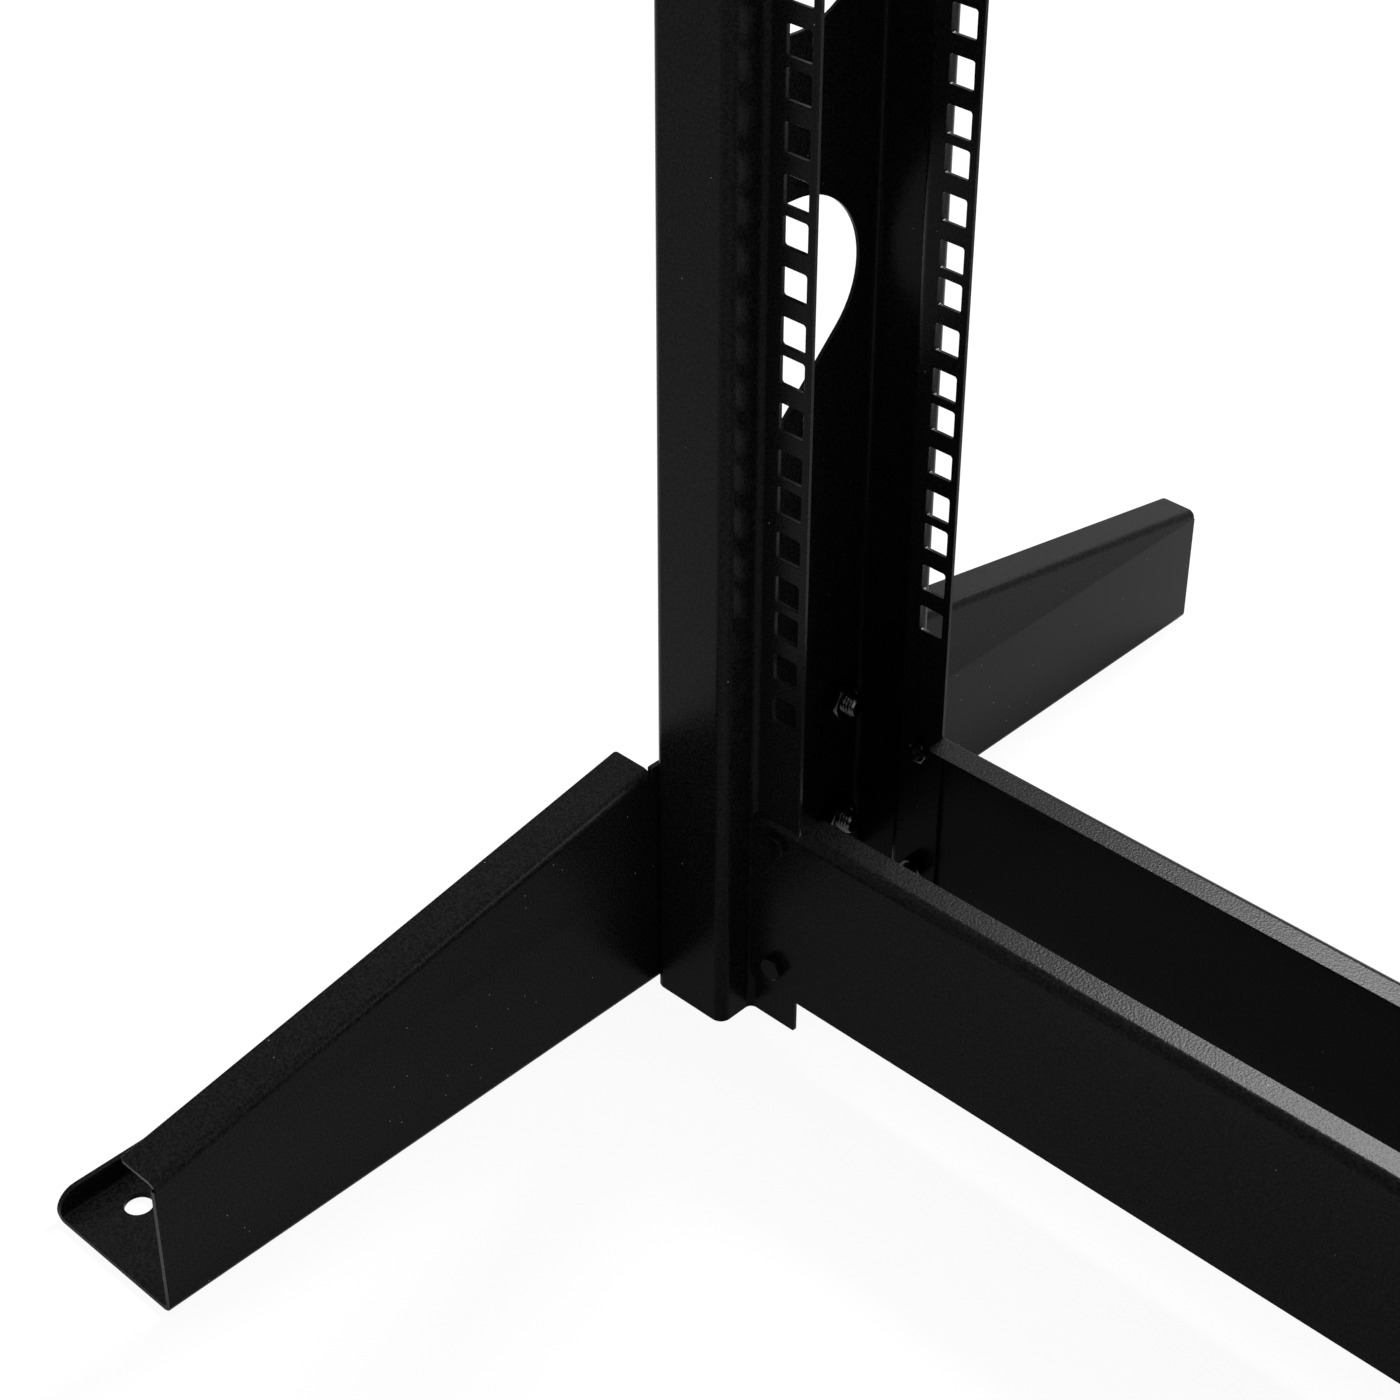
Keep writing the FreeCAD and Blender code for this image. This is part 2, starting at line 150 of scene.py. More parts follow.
def inset(ring, distance):
    """The ring moved to its left by a distance, with mitred corners."""
    sharpest = 0.3
    moved = []
    count = len(ring)
    for i, point in enumerate(ring):
        point = Vector(point)
        back = (point - Vector(ring[i - 1])).normalized()
        ahead = (Vector(ring[(i + 1) % count]) - point).normalized()
        left = Vector((-(back + ahead).y, (back + ahead).x)).normalized()
        reach = distance / max(sharpest, left.dot(Vector((-ahead.y, ahead.x))))
        moved.append(tuple(point + left * reach))
    return moved


def surrounds(corners, x, y):
    """Whether a polygon surrounds a point."""
    inside = False
    for (x0, y0), (x1, y1) in zip(corners, corners[1:] + corners[:1]):
        if (y0 > y) != (y1 > y) and x < x0 + (y - y0) / (y1 - y0) * (x1 - x0):
            inside = not inside
    return inside


# Folded sheets


def smooth(mesh, crease):
    """Shade a mesh smooth, with edges that turn by more than an angle in degrees left sharp."""
    mesh.shade_smooth()
    mesh.set_sharp_from_angle(angle=math.radians(crease))


def bevelled_loops(work, ring, half):
    """Four loops of vertices down a cut edge, with the walls between them."""
    loops = []
    for height, shift in ((half, BEVEL), (half - BEVEL, 0.0), (BEVEL - half, 0.0), (-half, BEVEL)):
        level_ring = inset(ring, shift) if shift else ring
        loops.append([work.verts.new((x, y, height)) for x, y in level_ring])
    for upper, lower in zip(loops, loops[1:]):
        for i, j in zip(range(-1, len(ring) - 1), range(len(ring))):
            work.faces.new((upper[j], upper[i], lower[i], lower[j]))
    return loops


def pierce(work, face, holes):
    """Give a flat face the holes that lie in it."""
    no_area = 1e-9
    level = 0 if face.normal.z > 0 else -1
    corners = [(v.co.x, v.co.y) for v in face.verts]
    inside = [loops[level] for middle, loops in holes if surrounds(corners, *middle)]
    if not inside:
        return
    rings = [list(face.verts)] + inside
    points = [v for ring in rings for v in ring]
    work.faces.remove(face)
    for triangle in tessellate_polygon([[v.co for v in ring] for ring in rings]):
        a, b, c = (points[i] for i in triangle)
        turn = (b.co - a.co).cross(c.co - a.co).z
        if abs(turn) > no_area:
            work.faces.new((a, b, c) if (turn > 0) == (level == 0) else (a, c, b))


def flat_mesh(outline, holes, thickness, folds):
    """A flat sheet with bevelled cut edges, cut across where it will bend."""
    on_cut, upright = 1e-5, 0.99
    half = thickness / 2
    work = bmesh.new()
    loops = bevelled_loops(work, outline if area(outline) > 0 else outline[::-1], half)
    work.faces.new(loops[0])
    work.faces.new(loops[-1][::-1])
    for fold in folds:
        length = fold["middle"] * QUARTER
        for step in range(BEND_STEPS + 1):
            place = Vector(fold["start"]) + Vector(fold["out"]) * length * step / BEND_STEPS
            everything = work.verts[:] + work.edges[:] + work.faces[:]
            bmesh.ops.bisect_plane(work, geom=everything, dist=on_cut, plane_co=(*place, 0),
                                   plane_no=(*fold["out"], 0))
    work.normal_update()
    caps = [face for face in work.faces if abs(face.normal.z) > upright]
    cut = []
    for hole in holes:
        middle = (sum(x for x, y in hole) / len(hole), sum(y for x, y in hole) / len(hole))
        cut.append((middle, bevelled_loops(work, hole if area(hole) < 0 else hole[::-1], half)))
    for face in caps:
        pierce(work, face, cut)
    bmesh.ops.triangulate(work, faces=work.faces[:])
    mesh = bpy.data.meshes.new("flat")
    work.to_mesh(mesh)
    work.free()
    smooth(mesh, crease=35)
    return mesh


def bend_sizes(inner, thickness):
    """The outer radius of a square bend, and the length of flat sheet that it takes."""
    return inner + thickness, (inner + thickness / 2) * QUARTER


def bend(start, out, way, inner, thickness, member=None):
    """A square fold: its start line, the side that moves, the way it turns and its inner radius.

    Where a member is given, it picks the points of the flat sheet that the fold may move.
    """
    return {"start": start, "out": out, "way": way, "middle": inner + thickness / 2, "member": member}


def apply_folds(mesh, folds):
    """Fold a flat mesh, outermost bends first, and turn its shading normals with it.

    How far a point turns follows from its place in the flat sheet, and where it goes from the place
    that the bends before have given it.
    """
    no_reach = 1e-4
    flat = np.empty(len(mesh.vertices) * 3)
    mesh.vertices.foreach_get("co", flat)
    flat = flat.reshape(-1, 3)
    place = flat.copy()
    corner = np.empty(len(mesh.loops), dtype=np.int32)
    mesh.loops.foreach_get("vertex_index", corner)
    normal = np.empty(len(mesh.loops) * 3, dtype=np.float32)
    mesh.corner_normals.foreach_get("vector", normal)
    normal = normal.reshape(-1, 3).astype(float)
    for fold in folds:
        out = np.array([*fold["out"], 0.0])
        lift = np.array([0.0, 0.0, float(fold["way"])])
        start = np.array([*fold["start"], 0.0])
        middle = fold["middle"]
        length = middle * QUARTER
        reach = (flat - start) @ out
        moves = reach > no_reach
        if fold["member"]:
            moves &= fold["member"](flat)
        turn = np.clip(reach / middle, 0, QUARTER)
        beyond = np.maximum(0, (place - start) @ out - length)
        beyond[reach < length] = 0
        height = (place - start) @ lift
        sine, cosine = np.sin(turn), np.cos(turn)
        new_out = (middle - height) * sine + beyond * cosine
        new_lift = middle - (middle - height) * cosine + beyond * sine
        along = (place - start) - np.outer((place - start) @ out, out) - np.outer(height, lift)
        moved = start + along + np.outer(new_out, out) + np.outer(new_lift, lift)
        place[moves] = moved[moves]
        turned = np.where(moves, turn, 0)[corner]
        from_out, from_lift = normal @ out, normal @ lift
        rest = normal - np.outer(from_out, out) - np.outer(from_lift, lift)
        to_out = from_out * np.cos(turned) - from_lift * np.sin(turned)
        to_lift = from_out * np.sin(turned) + from_lift * np.cos(turned)
        normal = rest + np.outer(to_out, out) + np.outer(to_lift, lift)
    return place, normal


def folded_sheet(outline, holes, thickness, folds):
    """A folded sheet that can be set in place more than once."""
    mesh = flat_mesh(outline, holes, thickness, folds)
    return (mesh, *apply_folds(mesh, folds))


def stand_for(name, mesh, finish, node):
    """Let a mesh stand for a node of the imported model."""
    piece = bpy.data.objects.new(name, mesh)
    mesh.name = name
    bpy.context.scene.collection.objects.link(piece)
    mesh.materials.append(finish)
    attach(piece, "root")
    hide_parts(node)


def set_sheet(sheet, matrix, node):
    """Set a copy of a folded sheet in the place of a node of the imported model."""
    flat, place, normal = sheet
    mesh = flat.copy()
    turn = np.array(matrix.to_3x3())
    mesh.vertices.foreach_set("co", ((place @ turn.T + np.array(matrix.translation)) / METRE).ravel())
    mesh.update()
    mesh.normals_split_custom_set([tuple(n) for n in normal @ turn.T])
    stand_for(node + "_sheet", mesh, BLACK, node)


def axes(first, second, third, origin):
    """A matrix that takes the sheet's three axes to the given directions."""
    turn = Matrix((first, second, third)).transposed().to_4x4()
    return Matrix.Translation(Vector(origin)) @ turn


# A sheet drawn about the posts' middle line stands as drawn, or half a turn about that line
IN_PLACE = Matrix.Translation((0, -SETBACK, 0))
ABOUT_MIDDLE = IN_PLACE @ Matrix.Rotation(math.pi, 4, "Z")


def make_posts():
    """The posts: web, stepped front and rear, flanges with square holes, cable openings in the web."""
    inner = 2.5
    sheet_corner = 0.8
    opening_pairs, opening_first, opening_gap = 4, 273.7, 54.0
    thickness = POST_SHEET
    outer, arc = bend_sizes(inner, thickness)
    face = WEB_OUT - RETURN_OUT + thickness - 2 * outer
    step = FLANGE_STEP + thickness - 2 * outer
    flange = FLANGE_EDGE + RETURN_OUT - outer
    first = POST_HALF - outer
    second = first + arc + face
    third = second + arc + step
    edge = third + arc + flange
    column = edge - FLANGE_EDGE
    folds = []
    for side in (1, -1):
        folds.append(bend((side * third, 0), (side, 0), -1, inner, thickness))
        folds.append(bend((side * second, 0), (side, 0), 1, inner, thickness))
        folds.append(bend((side * first, 0), (side, 0), 1, inner, thickness))
    outline = corner_ring([(-edge, 0, sheet_corner), (edge, 0, sheet_corner),
                           (edge, POST_TOP, sheet_corner), (-edge, POST_TOP, sheet_corner)])
    holes = []
    for side in (1, -1):
        for unit in range(UNITS):
            for k in range(3):
                holes.append(square_ring(side * column, FIRST_HOLE + unit * UNIT + k * HOLE_STEP))
        for height in (BOLT_LOW, BOLT_HIGH, POST_TOP - BOLT_LOW, POST_TOP - BOLT_HIGH):
            holes.append(round_ring(side * column, height, BEAM_BOLT_HOLE))
        for height in (BOLT_LOW, BOLT_HIGH):
            holes.append(round_ring(side * FLANGE_OUT, height, FOOT_BOLT_HOLE))
    pitch = (POST_TOP - 2 * opening_first - opening_gap) / (opening_pairs - 1)
    for pair in range(opening_pairs):
        level = opening_first + pair * pitch
        holes.append(opening_ring(level, -1))
        holes.append(opening_ring(level + opening_gap, 1))
    web_middle = COLUMN + WEB_OUT - thickness / 2
    local = axes((0, 1, 0), (0, 0, 1), (1, 0, 0), (-web_middle, 0, 0))
    sheet = folded_sheet(outline, holes, thickness, folds)
    for node, place in (("left_post", IN_PLACE), ("right_post", ABOUT_MIDDLE)):
        set_sheet(sheet, place @ local, node)


def make_beams():
    """The beams: a plate on the flanges with a narrow shelf turned into the rack between the posts."""
    thickness = 1.5
    inner = 2.5
    foot_gap, beam_height, overhang = 14.5, 69.5, 11.0
    shelf_depth, shelf_clearance, slot = 12.0, 0.6, 0.7
    plate_corner, slot_corner, shelf_corner = 1.0, 0.5, 2.0
    end_drop = 1.0
    outer, arc = bend_sizes(inner, thickness)
    bottom = foot_gap
    top = bottom + beam_height
    end = COLUMN + overhang
    end_top = top - end_drop
    shelf = COLUMN - FLANGE_EDGE - shelf_clearance
    start = top - outer
    rim = start + arc + shelf_depth - outer
    outline = corner_ring([
        (-end, bottom, plate_corner), (end, bottom, plate_corner), (end, end_top, plate_corner),
        (shelf + slot, end_top, slot_corner), (shelf + slot, start), (shelf, start),
        (shelf, rim, shelf_corner), (-shelf, rim, shelf_corner),
        (-shelf, start), (-shelf - slot, start), (-shelf - slot, end_top, slot_corner),
        (-end, end_top, plate_corner)])
    holes = []
    for side in (-1, 1):
        for height in (BOLT_LOW, BOLT_HIGH):
            holes.append(round_ring(side * COLUMN, height, BEAM_BOLT_HOLE))
    folds = [bend((0, start), (0, 1), -1, inner, thickness)]
    local = axes((1, 0, 0), (0, 0, 1), (0, -1, 0), (0, -FLANGE_OUT - thickness / 2, 0))
    turned_over = Matrix.Translation((0, 0, POST_TOP)) @ Matrix.Rotation(math.pi, 4, "Y")
    placed = {
        "front_bottom_beam": IN_PLACE,
        "rear_bottom_beam": ABOUT_MIDDLE,
        "front_top_beam": IN_PLACE @ turned_over,
        "rear_top_beam": ABOUT_MIDDLE @ turned_over,
    }
    sheet = folded_sheet(outline, holes, thickness, folds)
    for node, place in placed.items():
        set_sheet(sheet, place @ local, node)


def make_foot(node, place, long_side):
    """A foot: tapered plate, base flange with a lip, two sloping shelves and the anchor holes."""
    thickness = 2.0
    foot_half, crest, tip_height = 254.0, 91.2, 52.3
    base, lip, lip_corner = 56.0, 10.0, 7.0
    shelf, shelf_gap, shelf_corner = 16.0, 1.0, 1.2
    slit, slit_corner, crest_corner = 0.08, 0.3, 2.0
    anchor_hole, anchor_from_tip, anchor_from_lip = 4.5, 19.0, 14.6
    base_inner, shelf_inner = 1.5, 1.2
    outer, arc = bend_sizes(base_inner, thickness)
    shelf_outer, shelf_arc = bend_sizes(shelf_inner, thickness)
    base_end = outer - arc
    lip_start = base_end - (base - 2 * outer)
    lip_end = lip_start - arc - (lip - outer)
    shelf_end = POST_HALF + shelf_gap
    relief = shelf_end - slit
    tips = {long_side: foot_half + SETBACK, -long_side: foot_half - SETBACK}

    def sloping_side(side, tip):
        """The shelf's fold on one side, and the corners of that side from its tip to the crest."""
        slope = math.atan2(crest - tip_height, tip - POST_HALF)

        def edge(away, drop=shelf_outer):
            """Height of the sloping edge at a distance from the middle, less a drop square to it."""
            return crest - (away - POST_HALF) * math.tan(slope) - drop / math.cos(slope)

        out = Vector((side * math.sin(slope), math.cos(slope)))
        tip_fold = tip - shelf_outer * math.sin(slope)
        start = Vector((side * shelf_end, edge(shelf_end)))
        end = Vector((side * tip_fold, edge(tip_fold)))
        width = shelf_arc + shelf - shelf_outer
        fold = bend(tuple(start), tuple(out), -1, shelf_inner, thickness,
                    lambda flat: flat[:, 0] * side > shelf_end - slit / 2)
        corners = [
            (side * tip, edge(tip)), tuple(end), (*(end + out * width), shelf_corner),
            (*(start + out * width), shelf_corner), tuple(start), (side * relief, edge(relief)),
            (side * relief, edge(relief, 0.0), slit_corner), (side * POST_HALF, crest, crest_corner)]
        return fold, corners

    folds = []
    tops = {}
    for side, tip in tips.items():
        fold, tops[side] = sloping_side(side, tip)
        folds.append(fold)
    folds.append(bend((0, lip_start), (0, -1), -1, base_inner, thickness))
    folds.append(bend((0, outer), (0, -1), -1, base_inner, thickness))
    lip_corners = [(-tips[-1], lip_end, lip_corner), (tips[1], lip_end, lip_corner)]
    outline = corner_ring(lip_corners + tops[1] + tops[-1][::-1])
    anchor = base_end - (base - anchor_from_lip - outer)
    holes = [round_ring(tips[1] - anchor_from_tip, anchor, anchor_hole),
             round_ring(anchor_from_tip - tips[-1], anchor, anchor_hole)]
    for side in (-1, 1):
        for height in (BOLT_LOW, BOLT_HIGH):
            holes.append(round_ring(side * FLANGE_OUT, height, FOOT_BOLT_HOLE))
    plate_middle = COLUMN + WEB_OUT + thickness / 2
    local = axes((0, 1, 0), (0, 0, 1), (1, 0, 0), (-plate_middle, 0, 0))
    set_sheet(folded_sheet(outline, holes, thickness, folds), place @ local, node)


# Bolts and nuts

Screw = namedtuple("Screw", "flats head diameter pitch grip nut sink")
BEAM_SCREW = Screw(flats=7.8, head=3.0, diameter=5.0, pitch=0.8, grip=3.0, nut=4.4, sink=1.0)
FOOT_SCREW = Screw(flats=13.0, head=5.3, diameter=8.0, pitch=1.25, grip=3.5, nut=6.5, sink=0.0)
HEX_SIDES = 48
SHANK_SIDES = 32


def lathe(rows, sides, closed_ends=True):
    """Points and faces of stacked rings, each row a function of the angle that gives (radius, height)."""
    points, faces = [], []
    for row in rows:
        for i in range(sides):
            angle = math.tau * i / sides
            radius, height = row(angle)
            points.append((radius * math.cos(angle), radius * math.sin(angle), height))
    for r in range(len(rows) - 1):
        for i in range(sides):
            j = (i + 1) % sides
            faces.append((r * sides + i, r * sides + j, (r + 1) * sides + j, (r + 1) * sides + i))
    if closed_ends:
        faces.append(tuple(range(sides))[::-1])
        faces.append(tuple(range((len(rows) - 1) * sides, len(rows) * sides)))
    return points, faces


def hex_radius(angle, flats):
    """Distance from the middle of a hexagon to its side at an angle."""
    within = (angle % (math.pi / 3)) - math.pi / 6
    return flats / 2 / math.cos(within)


def hex_rows(flats, low, high, chamfer_low, chamfer_high):
    """Rows of a hexagonal prism whose ends are chamfered by cones."""
    face_share = 0.96
    face = flats / 2 * face_share
    slant = math.tan(math.radians(30))

    def wall(level, way, chamfered):
        def row(angle):
            radius = hex_radius(angle, flats)
            drop = (radius - face) * slant if chamfered else 0.0
            return radius, level + way * drop
        return row

    rows = []
    if chamfer_low:
        rows.append(lambda angle: (face, low))
    rows.append(wall(low, 1, chamfer_low))
    rows.append(wall(high, -1, chamfer_high))
    if chamfer_high:
        rows.append(lambda angle: (face, high))
    return rows


def thread_rows(major, pitch, low, high):
    """Rows of a screw thread that runs out in a chamfered end."""
    rows_a_turn = 8
    depth = 0.6 * pitch
    flank, root = 1.35, 0.12
    end_drop, end_slope = 1.15, 0.9
    count = int((high - low) / pitch * rows_a_turn)
    rows = []
    for k in range(count + 1):
        height = low + (high - low) * k / count

        def row(angle, height=height):
            phase = (height / pitch - angle / math.tau) % 1.0
            ridge = 1 - abs(2 * phase - 1)
            profile = min(1.0, max(0.0, ridge * flank - root))
            radius = major - depth * (1 - profile)
            room = major - depth * end_drop + max(0.0, high - height) * end_slope
            return min(radius, room), height
        rows.append(row)
    return rows


def bolt_shape(screw, length):
    """A hexagon bolt from the top of its head at 0 to its end."""
    overlap, slack, gap, thread_in_nut = 0.3, 0.05, 0.05, 1.5
    head_points, head_faces = lathe(hex_rows(screw.flats, 0.0, screw.head, True, False), HEX_SIDES)
    major = screw.diameter / 2 - slack
    plain_end = screw.head + screw.grip + screw.nut - thread_in_nut
    rows = [lambda angle: (major, screw.head - overlap), lambda angle: (major, plain_end)]
    rows += thread_rows(major, screw.pitch, plain_end + gap, length)
    shank_points, shank_faces = lathe(rows, SHANK_SIDES)
    shift = len(head_points)
    shank_faces = [tuple(i + shift for i in face) for face in shank_faces]
    return head_points + shank_points, head_faces + shank_faces


def nut_shape(screw):
    """A hexagon nut from 0 to its height, with a chamfered bore."""
    clearance, chamfer = 0.02, 0.5
    height = screw.nut
    bore = screw.diameter / 2 + clearance
    rim = bore + chamfer
    rows = [lambda angle: (bore, chamfer), lambda angle: (rim, 0.0)]
    rows += hex_rows(screw.flats, 0.0, height, True, True)
    rows += [lambda angle: (rim, height), lambda angle: (bore, height - chamfer)]
    points, faces = lathe(rows, HEX_SIDES, closed_ends=False)
    last = (len(rows) - 1) * HEX_SIDES
    for i in range(HEX_SIDES):
        j = (i + 1) % HEX_SIDES
        faces.append((last + i, last + j, j, i))
    return points, faces


def closed_mesh(name, points, faces):
    """A mesh of closed shells, with their faces turned outwards."""
    mesh = bpy.data.meshes.new(name)
    mesh.from_pydata(points, [], faces)
    work = bmesh.new()
    work.from_mesh(mesh)
    bmesh.ops.recalc_face_normals(work, faces=work.faces[:])
    work.to_mesh(mesh)
    work.free()
    smooth(mesh, crease=28)
    return mesh


def make_fasteners():
    """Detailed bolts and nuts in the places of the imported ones, each pair turned a little differently."""
    least_turn, turn_step, turns = 28, 3, 5
    for number, node in enumerate(sorted(frame["nodes"])):
        if not node.endswith(("_bolts", "_nuts")):
            continue
        on_foot = "_foot_" in node
        screw = FOOT_SCREW if on_foot else BEAM_SCREW
        axis = 0 if on_foot else 1
        inwards = 1 if node.startswith(("left_foot", "front_")) else -1
        low, high = (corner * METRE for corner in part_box(node))
        length = high[axis] - low[axis]
        begin = low[axis] if inwards > 0 else high[axis]
        if node.endswith("_bolts"):
            points, faces = bolt_shape(screw, length - screw.sink)
            begin += inwards * screw.sink
        else:
            points, faces = nut_shape(screw)
        spin = Matrix.Rotation(math.radians(least_turn + number * turn_step % turns), 4, "Z")
        ahead = Vector((0, 0, 0))
        ahead[axis] = inwards
        side = Vector((0, 0, 1))
        all_points, all_faces = [], []
        for sign in (-1, 1):
            centre = Vector((low + high) / 2)
            centre.z += sign * BOLT_SPACING / 2
            centre[axis] = begin
            turn = axes(side, ahead.cross(side), ahead, centre)
            shift = len(all_points)
            all_points += [tuple((turn @ spin @ Vector(p)) / METRE) for p in points]
            all_faces += [tuple(i + shift for i in face) for face in faces]
        mesh = closed_mesh(node, all_points, all_faces)
        stand_for(node + "_detail", mesh, FINISH_OF[SLOT_OF[node]], node)


# Finishes


def grey(level):
    """The same level of red, green and blue."""
    return (level, level, level)


def new_material(name):
    """A material with its node tree and its main shader."""
    material = bpy.data.materials.new(name)
    material.use_nodes = True
    tree = material.node_tree
    return material, tree, tree.nodes["Principled BSDF"]


def noise(tree, place, scale, detail=2.0):
    """Noise in the object's own metres."""
    item = tree.nodes.new("ShaderNodeTexNoise")
    item.inputs["Scale"].default_value = scale
    item.inputs["Detail"].default_value = detail
    tree.links.new(place.outputs["Object"], item.inputs["Vector"])
    return item.outputs["Fac"]


def ramp(tree, source, dark, light, low=0.3, high=0.7):
    """A colour that runs from dark to light where its source runs from low to high."""
    item = tree.nodes.new("ShaderNodeValToRGB")
    first, last = item.color_ramp.elements
    first.position, first.color = low, (*dark, 1)
    last.position, last.color = high, (*light, 1)
    tree.links.new(source, item.inputs["Fac"])
    return item.outputs["Color"]


def math_node(tree, operation, first, second):
    """A math node fed by two sockets, or by a socket and a number."""
    item = tree.nodes.new("ShaderNodeMath")
    item.operation = operation
    tree.links.new(first, item.inputs[0])
    if isinstance(second, float):
        item.inputs[1].default_value = second
    else:
        tree.links.new(second, item.inputs[1])
    return item.outputs["Value"]


def powder_coat():
    """Black powder coat: fine grain, a slight mottling, and sparse light specks painted into the colour as
    glints.
    """
    # Size, rarity and grey of the painted glints: light specks in the base colour that stand in for
    # highlights
    painted_glint_size, painted_glint_rarity, painted_glint_tone = 0.13, 0.995, 0.16
    material, tree, shader = new_material("black_powder")
    place = tree.nodes.new("ShaderNodeTexCoord")
    grain = noise(tree, place, scale=1200.0)
    cloud = noise(tree, place, scale=22.0, detail=3.0)
    dark, light = (0.0015, 0.0015, 0.0016), (0.0075, 0.0075, 0.0078)
    tone = ramp(tree, grain, dark, light, low=0.35, high=0.72)
    # Painted glints: a few Voronoi cells get a light grey base colour, as painted highlights
    cells = tree.nodes.new("ShaderNodeTexVoronoi")
    cells.inputs["Scale"].default_value = 620.0
    tree.links.new(place.outputs["Object"], cells.inputs["Vector"])
    lots = tree.nodes.new("ShaderNodeSeparateColor")
    tree.links.new(cells.outputs["Color"], lots.inputs["Color"])
    near = math_node(tree, "LESS_THAN", cells.outputs["Distance"], painted_glint_size)
    drawn = math_node(tree, "GREATER_THAN", lots.outputs["Red"], painted_glint_rarity)
    mix = tree.nodes.new("ShaderNodeMix")
    mix.data_type = "RGBA"
    tree.links.new(math_node(tree, "MULTIPLY", near, drawn), mix.inputs["Factor"])
    tree.links.new(tone, mix.inputs["A"])
    mix.inputs["B"].default_value = (*grey(painted_glint_tone), 1)
    tree.links.new(mix.outputs["Result"], shader.inputs["Base Color"])
    tree.links.new(ramp(tree, cloud, grey(0.25), grey(0.275)), shader.inputs["Roughness"])
    bump = tree.nodes.new("ShaderNodeBump")
    bump.inputs["Strength"].default_value = 0.7
    bump.inputs["Distance"].default_value = 0.00011
    tree.links.new(grain, bump.inputs["Height"])
    tree.links.new(bump.outputs["Normal"], shader.inputs["Normal"])
    shader.inputs["Specular IOR Level"].default_value = 0.037
    return material


def uneven(name, scale, dark, light, smoothest, roughest):
    """A finish whose tone and roughness change with one soft noise, and its shader."""
    material, tree, shader = new_material(name)
    cloud = noise(tree, tree.nodes.new("ShaderNodeTexCoord"), scale)
    tree.links.new(ramp(tree, cloud, dark, light), shader.inputs["Base Color"])
    tree.links.new(ramp(tree, cloud, grey(smoothest), grey(roughest)), shader.inputs["Roughness"])
    return material, shader


def black_oxide():
    """Black oxide on the beam bolts, a little oily."""
    dark, light = (0.001, 0.001, 0.0011), (0.004, 0.004, 0.0042)
    material, shader = uneven("black_oxide", 400.0, dark, light, smoothest=0.2, roughest=0.32)
    shader.inputs["Specular IOR Level"].default_value = 0.04
    return material


def dark_zinc():
    """Dark zinc plate on nuts and threads, with uneven tone."""
    dark, light = (0.035, 0.036, 0.038), (0.115, 0.118, 0.124)
    material, shader = uneven("dark_zinc", 260.0, dark, light, smoothest=0.15, roughest=0.28)
    shader.inputs["Metallic"].default_value = 1.0
    return material


BLACK = powder_coat()
FINISH_OF = {"black_powder_coat": BLACK, "black_bolts": black_oxide(), "dark_zinc": dark_zinc()}
SLOT_OF = {part["node"]: part["material_slot"] for part in frame["record"]["subparts"]}
for node, thing in frame["nodes"].items():
    thing.data.materials.clear()
    thing.data.materials.append(FINISH_OF[SLOT_OF[node]])

make_posts()
make_beams()
make_foot("left_foot", IN_PLACE, 1)
make_foot("right_foot", ABOUT_MIDDLE, -1)
make_fasteners()

# Floor, surround, lights and camera, in metres


def seen_white(tree, shader, glow_kind, direct, mirrored):
    """Mix a shader with plain white, by one share where the camera sees it and one in reflections."""
    glow = tree.nodes.new(glow_kind)
    glow.inputs["Color"].default_value = (1, 1, 1, 1)
    glow.inputs["Strength"].default_value = 1.0
    path = tree.nodes.new("ShaderNodeLightPath").outputs
    bounced = math_node(tree, "MAXIMUM", path["Is Glossy Ray"], path["Is Transmission Ray"])
    share = math_node(tree, "MAXIMUM", math_node(tree, "MULTIPLY", path["Is Camera Ray"], direct),
                      math_node(tree, "MULTIPLY", bounced, mirrored))
    mix = tree.nodes.new("ShaderNodeMixShader")
    tree.links.new(share, mix.inputs["Fac"])
    tree.links.new(shader, mix.inputs[1])
    tree.links.new(glow.outputs[0], mix.inputs[2])
    return mix.outputs["Shader"]


def white_floor():
    """A pale floor, just below the feet, that takes the rack's shadow."""
    half, level = 6.0, -0.0004
    mesh = bpy.data.meshes.new("floor")
    corners = [(-half, -half, level), (half, -half, level), (half, half, level), (-half, half, level)]
    mesh.from_pydata(corners, [], [(0, 1, 2, 3)])
    floor = bpy.data.objects.new("floor", mesh)
    bpy.context.scene.collection.objects.link(floor)
    material, tree, shader = new_material("floor_white")
    shader.inputs["Base Color"].default_value = (*grey(0.76), 1)
    shader.inputs["Roughness"].default_value = 1.0
    shader.inputs["Specular IOR Level"].default_value = 0.0
    mixed = seen_white(tree, shader.outputs["BSDF"], "ShaderNodeEmission", direct=0.93, mirrored=0.45)
    tree.links.new(mixed, tree.nodes["Material Output"].inputs["Surface"])
    mesh.materials.append(material)


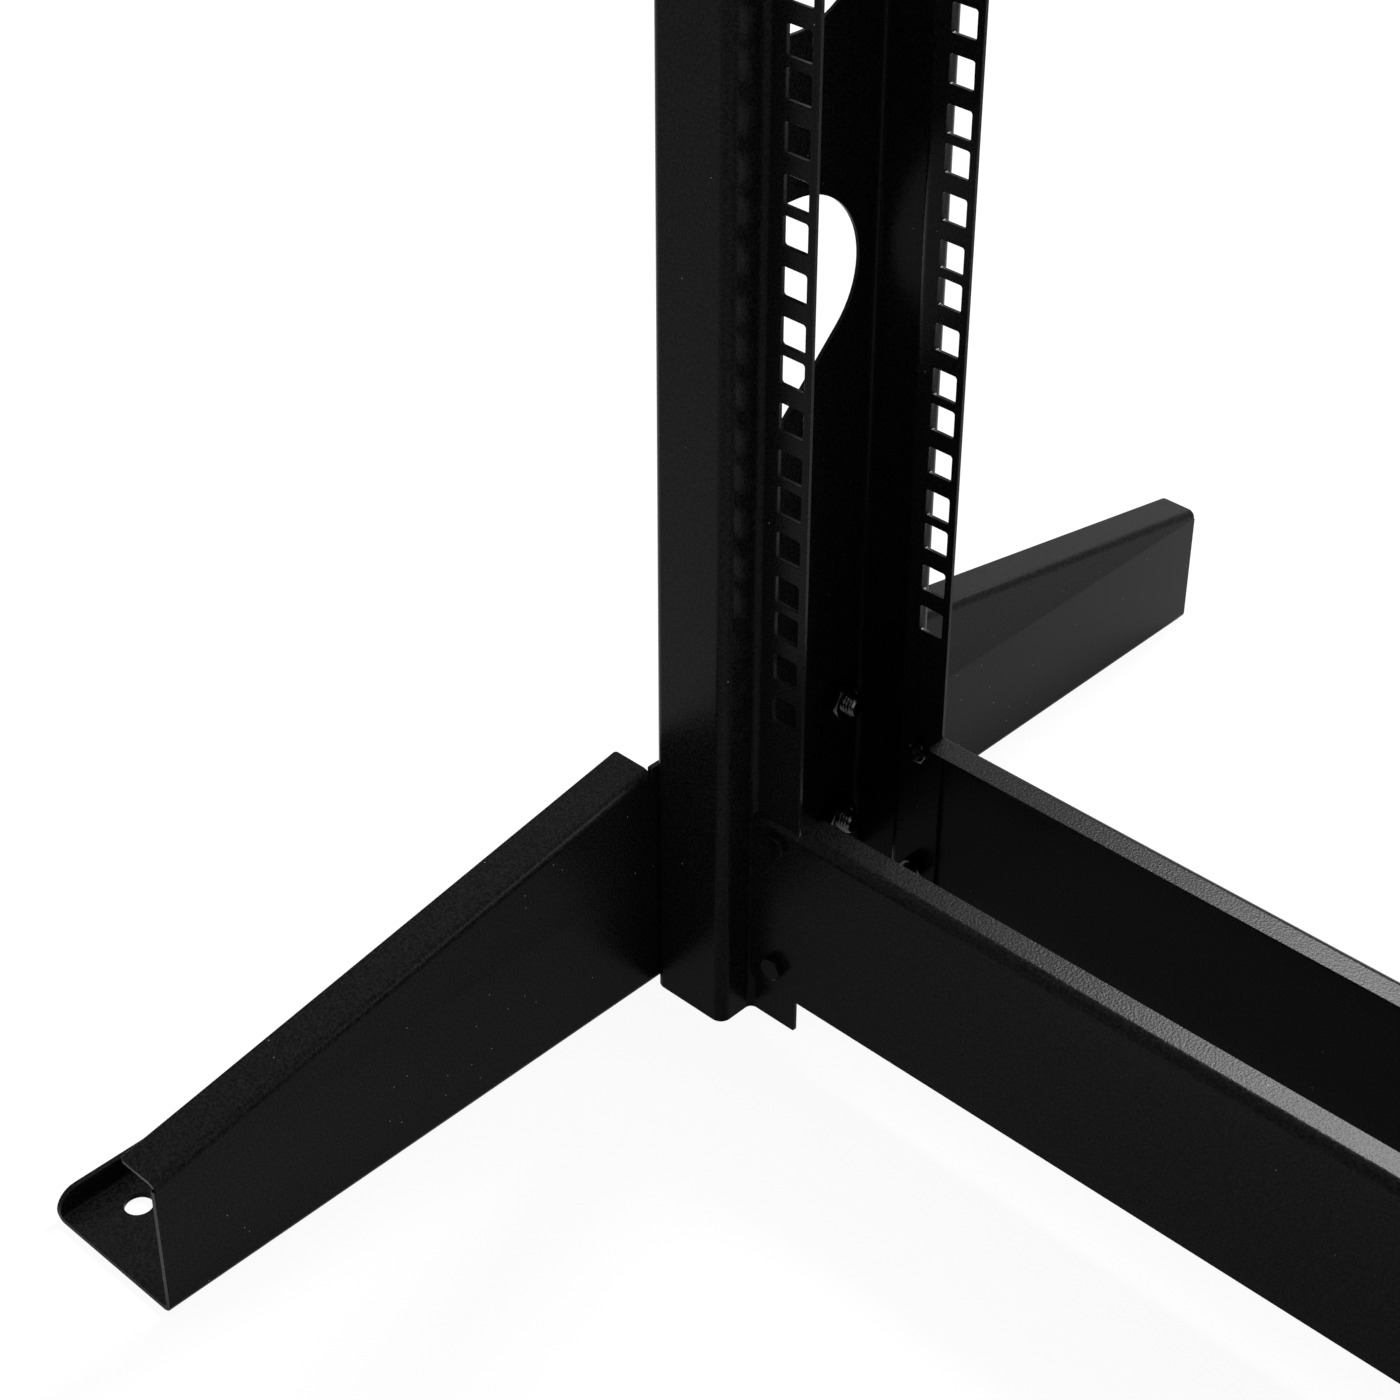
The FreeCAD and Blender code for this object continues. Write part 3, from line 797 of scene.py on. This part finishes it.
def white_surround():
    """A surround that is plain white to look at and lights the rack more softly."""
    world = bpy.data.worlds.new("studio")
    bpy.context.scene.world = world
    world.use_nodes = True
    tree = world.node_tree
    ground = tree.nodes["Background"]
    ground.inputs["Color"].default_value = (1, 1, 1, 1)
    ground.inputs["Strength"].default_value = 0.7
    mixed = seen_white(tree, ground.outputs["Background"], "ShaderNodeBackground", direct=1.0, mirrored=1.0)
    tree.links.new(mixed, tree.nodes["World Output"].inputs["Surface"])


def soft_light(name, azimuth, elevation, size, power):
    """A soft box that looks at the rack's foot from a direction given in degrees."""
    reach = 2.2
    target = Vector((0, 0, 0.08))
    turn, rise = math.radians(azimuth), math.radians(elevation)
    away = Vector((math.cos(rise) * math.cos(turn), math.cos(rise) * math.sin(turn), math.sin(rise)))
    data = bpy.data.lights.new(name, "AREA")
    data.shape = "RECTANGLE"
    data.size, data.size_y = size
    data.energy = power
    lamp = bpy.data.objects.new(name, data)
    bpy.context.scene.collection.objects.link(lamp)
    lamp.location = target + away * reach
    lamp.rotation_euler = (-away).to_track_quat("-Z", "Y").to_euler()


def photo_camera():
    """The photo's camera: its place, turn, focal length and framing, fitted to the rack's grid."""
    place = (0.23134, -0.55585, 0.6286)
    right = Vector((0.76120663, 0.64698620, 0.04442204))
    down = Vector((0.36466592, -0.37038859, -0.85430150))
    ahead = Vector((-0.53626787, 0.66649918, -0.51787606))
    picture_pixels = 1400
    focal_pixels = 2731.7
    centre_pixels = (919.44, 493.64)
    data = bpy.data.cameras.new("photo")
    camera = bpy.data.objects.new("photo", data)
    bpy.context.scene.collection.objects.link(camera)
    turn = Matrix((right, -down, -ahead)).transposed().to_4x4()
    camera.matrix_world = Matrix.Translation(place) @ turn
    data.sensor_fit = "HORIZONTAL"
    data.sensor_width = 36.0
    data.lens = data.sensor_width * focal_pixels / picture_pixels
    data.shift_x = (picture_pixels / 2 - centre_pixels[0]) / picture_pixels
    data.shift_y = (centre_pixels[1] - picture_pixels / 2) / picture_pixels
    data.clip_start = 0.01
    bpy.context.scene.camera = camera


white_floor()
white_surround()
soft_light("back_light", azimuth=112, elevation=45, size=(0.65, 0.45), power=100)
soft_light("side_light", azimuth=27, elevation=40, size=(0.9, 0.9), power=24)
photo_camera()
bpy.context.scene.view_settings.view_transform = "Standard"
